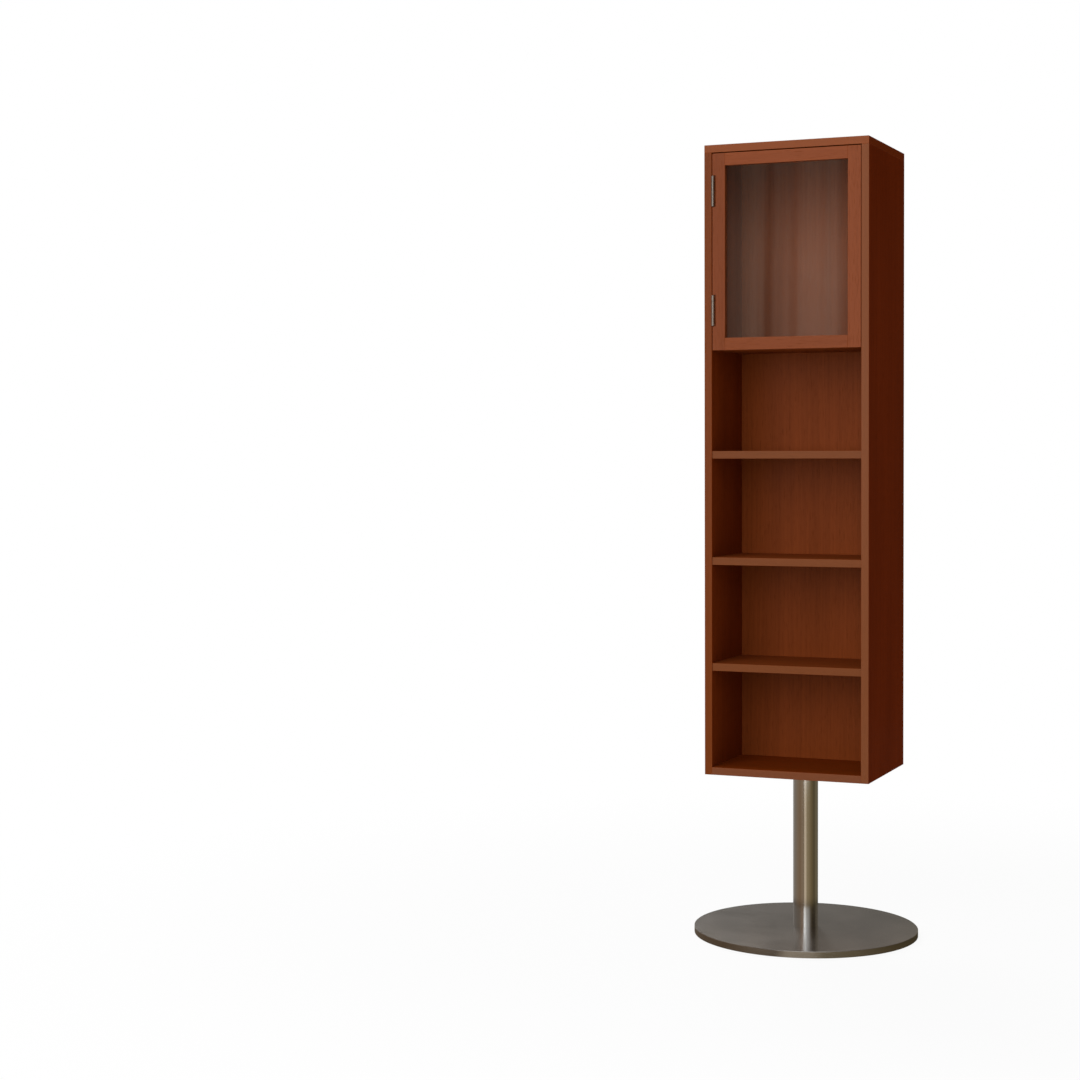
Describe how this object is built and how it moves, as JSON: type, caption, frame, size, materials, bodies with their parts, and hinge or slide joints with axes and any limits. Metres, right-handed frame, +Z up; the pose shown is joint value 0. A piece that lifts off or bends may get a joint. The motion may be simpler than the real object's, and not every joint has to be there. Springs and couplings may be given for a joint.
{
  "type": "revolving wardrobe cabinet",
  "caption": "Tall narrow cabinet with open shelves and a small glass door on one side and a full-length mirror on the other, turning on a steel pole with a round base.",
  "frame": {"origin": "on the floor, on the pole's axis", "axes": "+Z up along the pole, the shelves and the glass door face -Y, the mirror faces +Y, the door is hinged at -X"},
  "size_m": [0.5399, 0.54, 1.9],
  "materials": {
    "veneer": "satin reddish-brown veneer",
    "solid_wood": "satin stained solid wood",
    "plain_wood": "unfinished, hidden",
    "brushed_steel": "brushed stainless",
    "black_steel": "black powder coat, hidden",
    "bearing_steel": "ground and polished",
    "brass_cage": "machined",
    "zinc_steel": "zinc plated",
    "hinge_steel": "satin nickel",
    "bush_plastic": "natural acetal",
    "catch_plastic": "brown",
    "magnet": "ferrite",
    "rubber": "black",
    "clear_rubber": "clear",
    "door_glass": "clear float glass",
    "mirror": "silvered float glass"
  },
  "bodies": {
    "base": {"base_plate": "black_steel", "base_cover": "brushed_steel", "base_glides": "rubber", "pole": "brushed_steel", "pole_foot": "black_steel", "foot_screws": "zinc_steel", "head_bush": "bush_plastic", "lower_bush": "bush_plastic", "bearing_lower_race": "bearing_steel"},
    "roller_cage": {"bearing_cage": "brass_cage", "bearing_rollers": "bearing_steel"},
    "cabinet": {"bearing_upper_race": "bearing_steel", "swivel_plate": "black_steel", "swivel_screws": "zinc_steel", "spindle": "zinc_steel", "retaining_screw": "zinc_steel", "side_left": "veneer", "side_right": "veneer", "top_panel": "veneer", "bottom_panel": "veneer", "back_panel": "veneer", "fixed_shelf": "veneer", "shelf_1": "veneer", "shelf_2": "veneer", "shelf_3": "veneer", "top_tongues": "plain_wood", "bottom_tongues": "plain_wood", "shelf_tongues": "plain_wood", "mirror_cleats": "plain_wood", "mirror_board": "plain_wood", "mirror_glass": "mirror", "hinge_cabinet_leaves": "hinge_steel", "hinge_pins": "hinge_steel", "catch_body": "catch_plastic", "catch_magnet": "magnet", "door_bumpers": "clear_rubber"},
    "door": {"door_stile_hinge": "solid_wood", "door_stile_lock": "solid_wood", "door_rail_bottom": "solid_wood", "door_rail_top": "solid_wood", "door_glass": "door_glass", "glazing_beads": "solid_wood", "strike_plate": "zinc_steel", "hinge_door_leaves": "hinge_steel"}
  },
  "joints": [
    {"name": "cabinet_spin", "type": "hinge", "parent": "base", "child": "cabinet", "pos_m": [0, 0, 0.394], "axis": [0, 0, 1], "continuous": true},
    {"name": "cage_spin", "type": "hinge", "parent": "base", "child": "roller_cage", "pos_m": [0, 0, 0.3885], "axis": [0, 0, 1], "continuous": true},
    {"name": "door_swing", "type": "hinge", "parent": "cabinet", "child": "door", "pos_m": [-0.17825, -0.172, 1.6465], "axis": [0, 0, -1], "range_deg": [0, 180]}
  ],
  "couplings": [
    {"joint": "cage_spin", "follows": "cabinet_spin", "ratio": 0.5}
  ]
}
